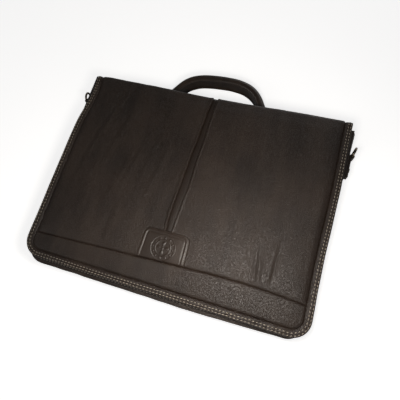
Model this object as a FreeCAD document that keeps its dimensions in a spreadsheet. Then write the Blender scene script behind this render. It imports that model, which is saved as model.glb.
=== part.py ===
import FreeCAD, Part
import math
import os
import re
import Sketcher
from FreeCAD import Placement, Rotation, Vector

# Leather briefcase lying on its back, in millimetres.
# X runs across the case, Y from the base to the handle and Z from the back panel up to the flap.
# The origin lies on the underside of the back panel, half way along and across the flap.

SIZES = {
    # case outline
    "case_width": 396,          # body across its lower part
    "mouth_flare": 9,           # each gusset stands this much further out at the mouth
    "case_bottom": 153,         # origin to the base
    "case_top": 145.5,          # origin to the mouth
    "case_corner": 25,          # rounded lower corners
    "flare_start": 45,          # height on Y where the gussets begin to flare
    "flare_end": 82,            # height on Y where they reach the mouth's width
    # thicknesses
    "leather": 1.6,
    "board": 1.2,
    "lining": 0.6,
    "base_board": 1.2,
    "spine_board": 1.5,
    "divider": 4,
    "rear_room": 19,            # depth of the rear compartment
    "front_room": 17,           # depth of the front compartment
    "flap_room": 6.6,           # space under the flap for the zipped pocket and the magnets
    "board_inset": 4,           # stiffening boards stand this far inside the case outline
    "divider_drop": 14,         # divider's top edge below the mouth
    "divider_trim": 1.6,
    # flap
    "flap_width": 400,
    "flap_bottom": 147.5,       # origin to the flap's free edge
    "flap_corner": 25,
    "flap_border": 10,          # stitched border round the padded panel
    "flap_lining": 0.8,
    "flap_padding": 4.2,
    "band_height": 39.5,        # flap's free edge to the cross seam
    "pleat_width": 8,
    "pleat_skin": 0.8,
    "patch_width": 64,
    "patch_shift": -3,
    "patch_height": 44,
    "patch_corner": 10,
    "patch_skin": 1,
    # spine and creases
    "crease_gap": 0.3,
    "spine_gap": 0.6,           # clear of the mouth
    "spine_margin": 1,          # spine is this much shorter than the flap at each end
    "spine_seam": 0.5,          # spine leather clear of the skins it folds against
    "spine_lining_end": 3.2,    # spine's board and lining stop this far from the back panel
    # handle
    "handle_half": 68,          # middle of the case to each foot
    "handle_rise": 32,          # pivot to the middle of the grip
    "handle_turn": 22,          # bend between foot and grip
    "handle_thick": 12,
    "handle_depth": 22,
    "handle_edge": 5,
    "core_inset": 3,
    "foot_width": 36,
    "foot_depth": 24,
    "swing_gap": 0.3,           # between parts that turn past each other
    "rivet": 1.5,
    "rivet_head": 3,
    "rivet_rise": 1.2,
    "rivet_reach": 13,          # foot centre to each rivet
    # strap rings
    "ring_wire": 3.2,
    "ring_width": 20,
    "ring_length": 15,
    "ring_bend": 4,
    "ring_tilt": 15,
    "ring_level": 34,           # middle of the ring above the back
    "ring_place": 110,          # height of the ring's hinge on Y
    "tab_length": 32,
    "tab_width": 11,
    "tab_skin": 3.2,
    "tab_wrap": 1.6,
    "tab_rivet_place": 12,      # lower end of the tab to its rivet
    # zipped pocket on the front panel
    "pocket_width": 300,
    "pocket_bottom": 120,
    "pocket_corner": 12,
    "zip_place": 93,            # height of the zip on Y
    "zip_coil": 3.2,
    "zip_coil_rise": 2,
    "tape_width": 9.4,
    "tape_skin": 1,
    "trim_height": 12,
    "coil_end": 4,              # coil stops short of each end of its tape
    "slider_length": 9,
    "slider_width": 7.4,
    "slider_skin": 1,
    "slider_skirt": 1.3,
    "slider_park": 130,         # closed position of the slider on X
    "slider_gap": 0.3,
    "puller_length": 24,
    "puller_width": 7,
    "puller_skin": 1.2,
    "puller_hole": 1.5,
    "puller_post": 1.2,
    "puller_cap": 2.3,
    "puller_cap_skin": 0.4,
    # magnetic closure
    "magnet": 8,
    "magnet_half": 110,
    "magnet_place": 60,         # below the origin on Y
    "socket_rise": 2,
    # slip pocket in the rear compartment
    "slip_width": 260,
    "slip_bottom": 120,
    "slip_top": 60,
}

doc = FreeCAD.newDocument("briefcase")
sheet = doc.addObject("Spreadsheet::Sheet", "Sizes")
for row, (alias, size) in enumerate(SIZES.items(), start=1):
    sheet.set(f"A{row}", alias)
    sheet.set(f"B{row}", str(size))
    sheet.setAlias(f"B{row}", alias)
doc.recompute()


def from_sheet(formula):
    """Formula in size names, written for the expression engine."""
    return re.sub(r"[a-z]+(_[a-z]+)*", lambda word: "Sizes." + word.group(), str(formula))


def bind(item, field, formula):
    item.setExpression(field, from_sheet(formula))


def value(formula):
    return float(sheet.evalExpression(from_sheet(formula)))


# Levels on Z, from the back panel up to the face of the flap.
back_board_level = "(leather)"
back_lining_level = "(leather + board)"
rear_floor = "(leather + board + lining)"
divider_level = f"({rear_floor} + rear_room)"
front_lining_level = f"({divider_level} + divider + front_room)"
front_board_level = f"({front_lining_level} + lining)"
front_panel_level = f"({front_board_level} + board)"
front_face = f"({front_panel_level} + leather)"
flap_lining_level = f"({front_face} + flap_room)"
padding_level = f"({flap_lining_level} + flap_lining)"
flap_skin_level = f"({padding_level} + flap_padding)"
flap_face = f"({flap_skin_level} + leather)"
middle_level = f"({flap_face} / 2)"
magnet_level = f"({front_face} + leather)"

# Half the body's width at the mouth.
mouth_half = "(case_width / 2 + mouth_flare)"

# Places on Y round the top of the case.
spine_lining_face = "(case_top + spine_gap)"
spine_board_face = f"({spine_lining_face} + lining)"
spine_inner = f"({spine_board_face} + spine_board)"
spine_outer = f"({spine_inner} + leather)"
flap_top = f"({spine_inner} - crease_gap)"
foot_face = f"({spine_outer} + leather)"
handle_pivot = f"({foot_face} + swing_gap + handle_depth / 2)"


def new_body(label, level="0"):
    body = doc.addObject("PartDesign::Body", label)
    body.Label = label
    body.AllowCompound = True
    bind(body, "Placement.Base.z", level)
    return body


def new_sketch(body, name, plane, offset):
    sketch = body.newObject("Sketcher::SketchObject", name)
    role = plane + "_Plane"
    support = [item for item in body.Origin.OriginFeatures if item.Role == role][0]
    sketch.AttachmentSupport = (support, [""])
    sketch.MapMode = "FlatFace"
    bind(sketch, "AttachmentOffset.Base.z", offset)
    return sketch


def arc_between(start, finish, radius):
    """Arc of at most half a turn; a positive radius bulges to the right of the way from start to finish."""
    chord = finish - start
    side = math.copysign(1, radius)
    sagitta = math.sqrt(max(radius ** 2 - (chord.Length / 2) ** 2, 0))
    centre = (start + finish) / 2 + Vector(-chord.y, chord.x, 0).normalize() * sagitta * side
    ends = (start, finish) if radius > 0 else (finish, start)
    angles = [math.atan2(end.y - centre.y, end.x - centre.x) for end in ends]
    circle = Part.Circle(centre, Vector(0, 0, 1), abs(radius))
    return Part.ArcOfCircle(circle, angles[0], angles[1])


def draw(sketch, points, rounds=(), closed=True):
    """Chain of lines through the points; rounds gives the radius of the arc after a point."""
    rounds = dict(rounds)
    spots = [Vector(value(x), value(y), 0) for x, y in points]
    count = len(spots) if closed else len(spots) - 1
    first, last = {}, {}
    for i in range(count):
        finish = spots[(i + 1) % len(spots)]
        first[i], last[i] = 1, 2
        if i in rounds:
            radius = value(rounds[i])
            if radius < 0:
                first[i], last[i] = 2, 1
            sketch.addGeometry(arc_between(spots[i], finish, radius))
        else:
            sketch.addGeometry(Part.LineSegment(spots[i], finish))
    for i in range(count if closed else count - 1):
        j = (i + 1) % count
        sketch.addConstraint(Sketcher.Constraint("Coincident", i, last[i], j, first[j]))
    ends = [(i, first[i]) for i in range(count)]
    if not closed:
        ends.append((count - 1, last[count - 1]))
    for (geometry, end), (x, y) in zip(ends, points):
        for kind, formula in (("DistanceX", x), ("DistanceY", y)):
            number = sketch.addConstraint(Sketcher.Constraint(kind, -1, 1, geometry, end, value(formula)))
            bind(sketch, f"Constraints[{number}]", formula)
    for i, formula in rounds.items():
        size = formula.lstrip("-")
        number = sketch.addConstraint(Sketcher.Constraint("Radius", i, value(size)))
        bind(sketch, f"Constraints[{number}]", size)


def draw_circles(sketch, centres, radius):
    for i, (x, y) in enumerate(centres):
        sketch.addGeometry(Part.Circle(Vector(value(x), value(y), 0), Vector(0, 0, 1), value(radius)))
        for kind, formula in (("DistanceX", x), ("DistanceY", y)):
            number = sketch.addConstraint(Sketcher.Constraint(kind, -1, 1, i, 3, value(formula)))
            bind(sketch, f"Constraints[{number}]", formula)
        number = sketch.addConstraint(Sketcher.Constraint("Radius", i, value(radius)))
        bind(sketch, f"Constraints[{number}]", radius)


def pad(body, sketch, length, reverse=False):
    feature = body.newObject("PartDesign::Pad", sketch.Label + "_pad")
    feature.Profile = sketch
    feature.Reversed = reverse
    bind(feature, "Length", length)
    body.Tip = feature
    return feature


def pierce(body, plane, centres, radius):
    """Round holes right through the body, square to the plane."""
    doc.recompute()
    sketch = new_sketch(body, body.Label + "_holes", plane, "0")
    draw_circles(sketch, centres, radius)
    before = body.Shape.Volume
    pocket = body.newObject("PartDesign::Pocket", body.Label + "_pocket")
    pocket.Profile = sketch
    pocket.Type = "ThroughAll"
    pocket.Midplane = True
    body.Tip = pocket
    doc.recompute()
    if body.Shape.Volume >= before:
        raise RuntimeError(body.Label + ": the holes cut nothing")


def slab(label, points, level, thick, rounds=()):
    """Flat piece cut to an outline in X and Y, lying at a level."""
    body = new_body(label, level)
    sketch = new_sketch(body, label + "_outline", "XY", "0")
    draw(sketch, points, rounds)
    pad(body, sketch, thick)
    return body


def box_points(left, right, bottom, top):
    return [(left, bottom), (right, bottom), (right, top), (left, top)]


def tub_outline(half, bottom, top, corner):
    """Rectangle with its two lower corners rounded."""
    points = [(f"-({half}) + {corner}", bottom), (f"{half} - {corner}", bottom),
              (half, f"{bottom} + {corner}"), (half, top),
              (f"-({half})", top), (f"-({half})", f"{bottom} + {corner}")]
    return points, {1: corner, 5: corner}


def case_outline(side_inset, bottom_inset, top):
    """Outline of the case, which flares towards the mouth, drawn in from its edges."""
    half = f"(case_width / 2 - {side_inset})"
    mouth = f"({mouth_half} - {side_inset})"
    bottom = f"(-case_bottom + {bottom_inset})"
    corner = f"(case_corner - {side_inset})"
    points = [(f"-{half} + {corner}", bottom), (f"{half} - {corner}", bottom),
              (half, f"{bottom} + {corner}"), (half, "flare_start"), (mouth, "flare_end"), (mouth, top),
              (f"-{mouth}", top), (f"-{mouth}", "flare_end"), (f"-{half}", "flare_start"),
              (f"-{half}", f"{bottom} + {corner}")]
    return points, {1: corner, 9: corner}


def case_sheet(label, level, thick, side_inset, bottom_inset, top):
    points, rounds = case_outline(side_inset, bottom_inset, top)
    return slab(label, points, level, thick, rounds)


# Back of the case, from the outside in.
case_sheet("back_panel", "0", "leather", "0", "0", flap_top)
case_sheet("back_board", back_board_level, "board", "board_inset", "board_inset", "case_top")
case_sheet("back_lining", back_lining_level, "lining", "board_inset", "board_inset", "case_top")
slab("slip_pocket", box_points("-slip_width / 2", "slip_width / 2", "-slip_bottom", "slip_top"),
     rear_floor, "lining")

# Gussets that join back and front: two sides with the lower corners, and the base between them.
gusset_depth = f"({front_panel_level} - leather)"
gusset_right_points = [
    ("case_width / 2 - case_corner", "-case_bottom"), ("case_width / 2", "-case_bottom + case_corner"),
    ("case_width / 2", "flare_start"), (mouth_half, "flare_end"), (mouth_half, "case_top"),
    (f"{mouth_half} - leather", "case_top"), (f"{mouth_half} - leather", "flare_end"),
    ("case_width / 2 - leather", "flare_start"), ("case_width / 2 - leather", "-case_bottom + case_corner"),
    ("case_width / 2 - case_corner", "-case_bottom + leather")]
gusset_left_points = [(f"-({x})", y) for x, y in reversed(gusset_right_points)]
gusset_right = slab("gusset_right", gusset_right_points, "leather", gusset_depth,
                    {0: "case_corner", 8: "-(case_corner - leather)"})
gusset_left = slab("gusset_left", gusset_left_points, "leather", gusset_depth,
                   {0: "-(case_corner - leather)", 8: "case_corner"})
base_half = "(case_width / 2 - case_corner)"
slab("gusset_base", box_points(f"-{base_half}", base_half, "-case_bottom", "-case_bottom + leather"),
     "leather", gusset_depth)
slab("base_board", box_points(f"-{base_half}", base_half, "-case_bottom + leather",
                              "-case_bottom + leather + base_board"),
     rear_floor, f"{front_lining_level} - {rear_floor}")

# Padded divider between the two compartments, with a leather trim along its top.
divider_top = "(case_top - divider_drop - divider_trim)"
case_sheet("divider", divider_level, "divider", "leather", "leather + base_board", divider_top)
trim_half = f"({mouth_half} - leather)"
slab("divider_trim", box_points(f"-{trim_half}", trim_half, divider_top, f"{divider_top} + divider_trim"),
     divider_level, "divider")

# Front of the case, from the inside out.
case_sheet("front_lining", front_lining_level, "lining", "board_inset", "board_inset", "case_top")
case_sheet("front_board", front_board_level, "board", "board_inset", "board_inset", "case_top")
case_sheet("front_panel", front_panel_level, "leather", "0", "0", "case_top")

# Zipped pocket under the flap.
pocket_half = "(pocket_width / 2)"
lower_tape_top = "(zip_place - zip_coil / 2)"
upper_tape_bottom = "(zip_place + zip_coil / 2)"
pocket_top = f"({lower_tape_top} - tape_width)"
trim_bottom = f"({upper_tape_bottom} + tape_width)"
points, rounds = tub_outline(pocket_half, "-pocket_bottom", pocket_top, "pocket_corner")
slab("pocket_panel", points, front_face, "leather", rounds)
slab("pocket_trim", box_points(f"-{pocket_half}", pocket_half, trim_bottom, f"{trim_bottom} + trim_height"),
     front_face, "leather")


def strips(label, boxes, level, thick):
    """Several flat strips that make one piece on the product."""
    body = new_body(label, level)
    for i, (left, right, bottom, top) in enumerate(boxes, start=1):
        sketch = new_sketch(body, f"{label}_outline_{i}", "XY", "0")
        draw(sketch, box_points(left, right, bottom, top))
        pad(body, sketch, thick)
    return body


coil_half = f"({pocket_half} - coil_end)"
strips("zip_tapes", [(f"-{pocket_half}", pocket_half, pocket_top, lower_tape_top),
                     (f"-{pocket_half}", pocket_half, upper_tape_bottom, trim_bottom)],
       front_face, "tape_skin")
slab("zip_coil", box_points(f"-{coil_half}", coil_half, lower_tape_top, upper_tape_bottom),
     front_face, "zip_coil_rise")
strips("zip_stops", [(f"-{pocket_half}", f"-{coil_half}", lower_tape_top, upper_tape_bottom),
                     (coil_half, pocket_half, lower_tape_top, upper_tape_bottom)],
       front_face, "zip_coil_rise")

# Slider: a plate over the coil with a skirt each side of it, and a post for the puller.
slider_level = f"({front_face} + zip_coil_rise + slider_gap)"
slider_start = "(slider_park - slider_length / 2)"
slider_end = "(slider_park + slider_length / 2)"
slider_low = "(zip_place - slider_width / 2)"
slider_high = "(zip_place + slider_width / 2)"
slider = slab("zip_slider", box_points(slider_start, slider_end, slider_low, slider_high),
              slider_level, "slider_skin")
for name, low, high in (
        ("skirt_low", slider_low, f"{lower_tape_top} - slider_gap"),
        ("skirt_high", f"{upper_tape_bottom} + slider_gap", slider_high)):
    skirt = new_sketch(slider, name, "XY", "0")
    draw(skirt, box_points(slider_start, slider_end, low, high))
    pad(slider, skirt, "slider_skirt", reverse=True)
puller_level = f"({slider_level} + slider_skin + slider_gap)"
post = new_sketch(slider, "puller_post", "XY", "slider_skin")
draw_circles(post, [("slider_park", "zip_place")], "puller_post")
pad(slider, post, "slider_gap + puller_skin + slider_gap")
post_cap = new_sketch(slider, "puller_cap", "XY", "slider_skin + slider_gap + puller_skin + slider_gap")
draw_circles(post_cap, [("slider_park", "zip_place")], "puller_cap")
pad(slider, post_cap, "puller_cap_skin")

puller_nose = "(slider_park + puller_width / 2)"
points = box_points("slider_park - puller_length", puller_nose,
                    "zip_place - puller_width / 2", "zip_place + puller_width / 2")
puller = slab("zip_puller", points, puller_level, "puller_skin")
pierce(puller, "XY", [("slider_park", "zip_place")], "puller_hole")


def discs(label, plane, centres, radius, start, length, body=None, reverse=False):
    """Round pieces of one size, standing on a plane parallel to an origin plane."""
    body = body or new_body(label)
    sketch = new_sketch(body, label + "_circles", plane, start)
    draw_circles(sketch, centres, radius)
    pad(body, sketch, length, reverse)
    return body


# Magnetic closure: sockets on the zipped pocket, studs through the flap's lining.
magnet_spots = [("-magnet_half", "-magnet_place"), ("magnet_half", "-magnet_place")]
discs("magnet_sockets", "XY", magnet_spots, "magnet", magnet_level, "socket_rise")
stud_level = f"({magnet_level} + socket_rise + swing_gap)"
discs("magnet_studs", "XY", magnet_spots, "magnet", stud_level, f"{padding_level} - {stud_level}")

# Flap: lining, padding and skins inside a stitched border.
flap_half = "(flap_width / 2)"
flap_low = "(-flap_bottom)"
points, rounds = tub_outline(flap_half, flap_low, flap_top, "flap_corner")
flap_lining = slab("flap_lining", points, flap_lining_level, "flap_lining", rounds)
pierce(flap_lining, "XY", magnet_spots, "magnet")

inner_half = f"({flap_half} - flap_border)"
inner_low = f"({flap_low} + flap_border)"
inner_corner = "(flap_corner - flap_border)"
border_points = [
    (f"-{flap_half} + flap_corner", flap_low), (f"{flap_half} - flap_corner", flap_low),
    (flap_half, f"{flap_low} + flap_corner"), (flap_half, flap_top),
    (inner_half, flap_top), (inner_half, f"{inner_low} + {inner_corner}"),
    (f"{inner_half} - {inner_corner}", inner_low), (f"-{inner_half} + {inner_corner}", inner_low),
    (f"-{inner_half}", f"{inner_low} + {inner_corner}"), (f"-{inner_half}", flap_top),
    (f"-{flap_half}", flap_top), (f"-{flap_half}", f"{flap_low} + flap_corner")]
slab("flap_border", border_points, padding_level, "flap_padding + leather",
     {1: "flap_corner", 5: f"-{inner_corner}", 7: f"-{inner_corner}", 11: "flap_corner"})
points, rounds = tub_outline(inner_half, inner_low, flap_top, inner_corner)
slab("flap_padding", points, padding_level, "flap_padding", rounds)

seam_line = "(-flap_bottom + band_height)"
points, rounds = tub_outline(inner_half, inner_low, seam_line, inner_corner)
slab("flap_band", points, flap_skin_level, "leather", rounds)
pleat_half = "(pleat_width / 2)"
slab("flap_left_panel", box_points(f"-{inner_half}", f"-{pleat_half}", seam_line, flap_top),
     flap_skin_level, "leather")
slab("flap_right_panel", box_points(pleat_half, inner_half, seam_line, flap_top),
     flap_skin_level, "leather")
slab("flap_pleat", box_points(f"-{pleat_half}", pleat_half, seam_line, flap_top),
     flap_skin_level, "pleat_skin")
patch_left = "(patch_shift - patch_width / 2)"
patch_right = "(patch_shift + patch_width / 2)"
patch_top = f"({seam_line} + patch_height)"
slab("flap_patch", [(patch_left, seam_line), (patch_right, seam_line),
                    (patch_right, f"{patch_top} - patch_corner"), (f"{patch_right} - patch_corner", patch_top),
                    (f"{patch_left} + patch_corner", patch_top), (patch_left, f"{patch_top} - patch_corner")],
     flap_face, "patch_skin", {2: "patch_corner", 4: "patch_corner"})

# Spine: the leather between the two creases, with its board and lining.
spine_half = f"({flap_half} - spine_margin)"
spine_start = "(leather + spine_seam)"
spine_height = f"({flap_skin_level} - spine_seam - {spine_start})"
lining_start = "(leather + spine_lining_end)"
lining_height = f"({flap_lining_level} - spine_lining_end - {lining_start})"
foot_spots = [("-handle_half", middle_level), ("handle_half", middle_level)]
rivet_spots = [(f"{side} * handle_half + {way} * rivet_reach", middle_level)
               for side in (-1, 1) for way in (-1, 1)]
spine_panel = slab("spine_panel", box_points(f"-{spine_half}", spine_half, spine_inner, spine_outer),
                   spine_start, spine_height)
spine_board = slab("spine_board", box_points(f"-{spine_half}", spine_half, spine_board_face, spine_inner),
                   lining_start, lining_height)
slab("spine_lining", box_points(f"-{spine_half}", spine_half, spine_lining_face, spine_board_face),
     lining_start, lining_height)

# Handle feet: two leather tabs riveted flat on the spine.
foot_half = "(foot_width / 2)"
handle_feet = strips("handle_feet",
                     [(f"{x} - {foot_half}", f"{x} + {foot_half}", spine_outer, foot_face) for x, z in foot_spots],
                     f"{middle_level} - foot_depth / 2", "foot_depth")


def pierce_across(body, level):
    """Rivet holes along Y; level is the height of the body's own origin."""
    spots = [(x, f"{z} - ({level})") for x, z in rivet_spots]
    pierce(body, "XZ", spots, "rivet")


pierce_across(spine_panel, spine_start)
pierce_across(spine_board, lining_start)
pierce_across(handle_feet, f"{middle_level} - foot_depth / 2")
rivets = discs("handle_rivets", "XZ", rivet_spots, "rivet", f"-{foot_face}", f"{foot_face} - {spine_board_face}")
discs("rivet_heads", "XZ", rivet_spots, "rivet_head", f"-{foot_face}", "rivet_rise", rivets, reverse=True)

# Handle: a three-centred arch from foot to foot.
crown = ("(((handle_half - handle_turn) ^ 2 + handle_rise ^ 2 - handle_turn ^ 2)"
         " / (2 * (handle_rise - handle_turn)))")
join_x = f"((handle_half - handle_turn) * {crown} / ({crown} - handle_turn))"
join_y = f"({handle_pivot} + handle_rise - {crown} + ({crown} - handle_rise) * {crown} / ({crown} - handle_turn))"
arch = [("-handle_half", handle_pivot), (f"-{join_x}", join_y), (join_x, join_y), ("handle_half", handle_pivot)]
arch_radii = {0: "-handle_turn", 1: f"-{crown}", 2: "-handle_turn"}


def rounded_section(sketch, centre_x, centre_y, width, height, corner):
    left, right = f"{centre_x} - {width} / 2", f"{centre_x} + {width} / 2"
    low, high = f"{centre_y} - {height} / 2", f"{centre_y} + {height} / 2"
    draw(sketch, [(f"{left} + {corner}", low), (f"{right} - {corner}", low),
                  (right, f"{low} + {corner}"), (right, f"{high} - {corner}"),
                  (f"{right} - {corner}", high), (f"{left} + {corner}", high),
                  (left, f"{high} - {corner}"), (left, f"{low} + {corner}")],
         {1: corner, 3: corner, 5: corner, 7: corner})


def arch_pipe(body, kind, name, inset):
    """Sweep of a rounded section along the arch, made thinner by the inset."""
    path = new_sketch(body, name + "_path", "XY", middle_level)
    draw(path, arch, arch_radii, closed=False)
    section = new_sketch(body, name + "_section", "XZ", f"-{handle_pivot}")
    rounded_section(section, "-handle_half", middle_level, f"(handle_thick - 2 * {inset})",
                    f"(handle_depth - 2 * {inset})", f"(handle_edge - {inset})")
    pipe = body.newObject(kind, name)
    pipe.Profile = section
    pipe.Spine = (path, ["Edge1", "Edge2", "Edge3"])
    body.Tip = pipe
    return pipe


cover = new_body("handle_cover")
arch_pipe(cover, "PartDesign::AdditivePipe", "cover_outside", "0")
arch_pipe(cover, "PartDesign::SubtractivePipe", "cover_inside", "core_inset")
for side in (-1, 1):
    name = "left_end" if side < 0 else "right_end"
    end = new_sketch(cover, name, "YZ", f"{side} * handle_half - handle_thick / 2")
    half_depth = "(handle_depth / 2)"
    draw(end, [(handle_pivot, f"{middle_level} + {half_depth}"), (f"{handle_pivot} - {half_depth}", middle_level),
               (handle_pivot, f"{middle_level} - {half_depth}")], {0: half_depth, 1: half_depth})
    pad(cover, end, "handle_thick")
core = new_body("handle_core")
arch_pipe(core, "PartDesign::AdditivePipe", "core_outside", "core_inset")

# Strap rings: a riveted leather tab on each gusset, looped round the bar of a D-ring.
wire = "(ring_wire / 2)"
wrap = f"({wire} + swing_gap + tab_wrap)"
tab_start = "(ring_place - tab_length)"
tab_rivet_y = f"({tab_start} + tab_rivet_place)"
tab_low = "(ring_level - tab_width / 2)"
for name, side, gusset in (("left", -1, gusset_left), ("right", 1, gusset_right)):
    near, far = f"{side} * {mouth_half}", f"{side} * ({mouth_half} + tab_skin)"
    hinge_x = f"({side} * ({mouth_half} + {wrap}))"
    left, right = (near, far) if side > 0 else (far, near)
    tab = slab(f"ring_tab_{name}", box_points(left, right, tab_start, "ring_place"), tab_low, "tab_width")
    lobe = new_sketch(tab, f"tab_{name}_lobe", "XY", "0")
    draw_circles(lobe, [(hinge_x, "ring_place")], wrap)
    pad(tab, lobe, "tab_width")
    pierce(tab, "XY", [(hinge_x, "ring_place")], f"{wire} + swing_gap")
    tab_drill = new_sketch(tab, f"tab_{name}_rivet_hole", "YZ", f"{side} * {mouth_half}")
    draw_circles(tab_drill, [(tab_rivet_y, "tab_width / 2")], "rivet")
    drill = tab.newObject("PartDesign::Pocket", f"tab_{name}_drill")
    drill.Profile = tab_drill
    drill.Type = "ThroughAll"
    drill.Midplane = True
    tab.Tip = drill
    gusset_drill = new_sketch(gusset, f"gusset_{name}_rivet_hole", "YZ", f"{side} * {mouth_half}")
    draw_circles(gusset_drill, [(tab_rivet_y, "ring_level - leather")], "rivet")
    drill = gusset.newObject("PartDesign::Pocket", f"gusset_{name}_drill")
    drill.Profile = gusset_drill
    drill.Type = "ThroughAll"
    drill.Midplane = True
    gusset.Tip = drill

    ring = new_body(f"d_ring_{name}")
    bind(ring, "Placement.Base.x", hinge_x)
    bind(ring, "Placement.Base.y", "ring_place")
    bind(ring, "Placement.Base.z", "ring_level")
    ring.Placement.Rotation = Rotation(Vector(0, 0, 1), -side * SIZES["ring_tilt"])
    half = "(ring_width / 2)"
    path = new_sketch(ring, f"ring_{name}_path", "YZ", "0")
    draw(path, [("0", "0"), ("0", f"-{half} + ring_bend"), ("ring_bend", f"-{half}"),
                (f"ring_length - {half}", f"-{half}"), ("ring_length", "0"), (f"ring_length - {half}", half),
                ("ring_bend", half), ("0", f"{half} - ring_bend")],
         {1: "ring_bend", 3: half, 4: half, 6: "ring_bend"})
    section = new_sketch(ring, f"ring_{name}_section", "XY", "0")
    draw_circles(section, [("0", "0")], wire)
    pipe = ring.newObject("PartDesign::AdditivePipe", f"ring_{name}_wire")
    pipe.Profile = section
    pipe.Spine = (path, [f"Edge{i}" for i in range(1, 9)])
    ring.Tip = pipe

tab_rivets = new_body("tab_rivets")
for side, reverse in ((-1, True), (1, False)):
    spots = [(tab_rivet_y, "ring_level")]
    inner = f"{side} * ({mouth_half} - leather)"
    outer = f"{side} * ({mouth_half} + tab_skin)"
    discs(f"tab_shank_{reverse}", "YZ", spots, "rivet", inner, "leather + tab_skin", tab_rivets, reverse)
    discs(f"tab_head_{reverse}", "YZ", spots, "rivet_head", outer, "rivet_rise", tab_rivets, reverse)

doc.recompute()

faults = []
for item in doc.Objects:
    if "Invalid" in item.State or "Error" in item.State:
        faults.append(f"{item.Label}: {item.State}")
bodies = [item for item in doc.Objects if item.TypeId == "PartDesign::Body"]
for body in bodies:
    if body.Shape.isNull() or not body.Shape.isValid() or body.Shape.Volume <= 0:
        faults.append(f"{body.Label}: no valid shape")
if faults:
    raise RuntimeError("; ".join(faults))

os.makedirs("parts", exist_ok=True)
for body in bodies:
    body.Shape.exportStep(f"parts/{body.Label}.step")
    print(body.Label, len(body.Shape.Solids), round(body.Shape.Volume, 1))
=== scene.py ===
import math
import random
import bmesh
import bpy
from mathutils import Matrix, Quaternion, Vector, noise


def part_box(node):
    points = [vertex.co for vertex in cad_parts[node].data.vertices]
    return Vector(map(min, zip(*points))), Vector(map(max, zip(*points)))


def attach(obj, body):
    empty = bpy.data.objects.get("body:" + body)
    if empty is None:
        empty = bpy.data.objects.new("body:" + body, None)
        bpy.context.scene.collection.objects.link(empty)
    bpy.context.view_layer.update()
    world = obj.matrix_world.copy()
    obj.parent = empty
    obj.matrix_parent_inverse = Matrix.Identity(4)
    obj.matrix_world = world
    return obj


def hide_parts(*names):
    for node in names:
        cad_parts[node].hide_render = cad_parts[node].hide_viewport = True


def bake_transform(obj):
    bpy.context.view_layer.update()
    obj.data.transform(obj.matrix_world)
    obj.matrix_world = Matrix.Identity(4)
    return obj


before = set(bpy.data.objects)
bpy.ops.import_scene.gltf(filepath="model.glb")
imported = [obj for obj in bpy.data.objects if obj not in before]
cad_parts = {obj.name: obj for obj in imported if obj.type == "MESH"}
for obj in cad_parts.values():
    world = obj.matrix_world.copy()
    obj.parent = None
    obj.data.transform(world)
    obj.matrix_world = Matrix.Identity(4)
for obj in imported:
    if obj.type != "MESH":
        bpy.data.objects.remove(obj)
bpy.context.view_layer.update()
mm = 0.001
print("frame loaded:", len(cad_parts), "parts")

cameraView = {
    "lookAt": (0.0248, -0.0110, 0.060),
    "distance": 0.4804,
    "azimuth": 40.4,
    "elevation": 72.05,
    "roll": -24.6,
    "lens": 31.5,
}


def makeCamera(values):
    a, e = math.radians(values["azimuth"]), math.radians(values["elevation"])
    back = Vector((math.sin(a) * math.cos(e), -math.cos(a) * math.cos(e), math.sin(e)))
    camera = bpy.data.objects.new("camera", bpy.data.cameras.new("camera"))
    bpy.context.scene.collection.objects.link(camera)
    camera.data.lens = values["lens"]
    camera.data.sensor_width = 36
    camera.data.clip_start = 0.01
    camera.data.clip_end = 50
    camera.location = Vector(values["lookAt"]) + back * values["distance"]
    side = Vector((math.cos(a), math.sin(a), 0))
    side.rotate(Quaternion(back, math.radians(values["roll"])))
    turn = Matrix((side, back.cross(side), back)).transposed()
    camera.rotation_mode = "QUATERNION"
    camera.rotation_quaternion = turn.to_quaternion()
    bpy.context.scene.camera = camera


lamps = {
    "flash": {"place": (0.112, -0.090, 0.36), "aim": (0.03, -0.12, 0.06), "size": 0.08, "watts": 0.62,
              "colour": (1.0, 0.94, 0.87), "spread": 135},
    "window": {"place": (-0.9, -0.8, 1.3), "aim": (0, 0, 0.03), "size": 1.2, "watts": 4.0,
               "colour": (1.0, 0.97, 0.94), "spread": 180},
    "bounce": {"place": (1.1, -0.9, 0.5), "aim": (0, 0, 0.03), "size": 1.0, "watts": 2.4,
               "colour": (1.0, 0.97, 0.94), "spread": 180},
    "rear": {"place": (0.3, 1.5, 0.22), "aim": (0, 0, 0.03), "size": 0.9, "watts": 5.0,
             "colour": (1.0, 0.98, 0.96), "spread": 180},
}
room = {"worldLevel": 0.042, "mirrored": 0.10, "floorHalf": 6.0, "floorDrop": 0.0006, "floorWhite": 0.85,
        "floorGlow": 0.75, "floorRoughness": 0.9, "floorShine": 0.1}


def makeLamps():
    for name, values in lamps.items():
        lamp = bpy.data.objects.new(name, bpy.data.lights.new(name, "AREA"))
        bpy.context.scene.collection.objects.link(lamp)
        lamp.data.size = values["size"]
        lamp.data.energy = values["watts"]
        lamp.data.color = values["colour"]
        lamp.data.spread = math.radians(values["spread"])
        lamp.location = values["place"]
        aim = Vector(values["aim"]) - Vector(values["place"])
        lamp.rotation_mode = "QUATERNION"
        lamp.rotation_quaternion = aim.to_track_quat("-Z", "Y")


def addNode(tree, kind, **settings):
    node = tree.nodes.new(kind)
    for field, setting in settings.items():
        setattr(node, field, setting)
    return node


# Sets inputs of a node, each from another node's socket or to a value of its own.
def feed(tree, node, settings):
    for label, item in settings.items():
        if isinstance(item, bpy.types.NodeSocket):
            tree.links.new(item, node.inputs[label])
        else:
            node.inputs[label].default_value = item


def sumOf(tree, first, second, operation="ADD"):
    node = addNode(tree, "ShaderNodeMath", operation=operation)
    feed(tree, node, {0: first, 1: second})
    return node.outputs[0]


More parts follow.
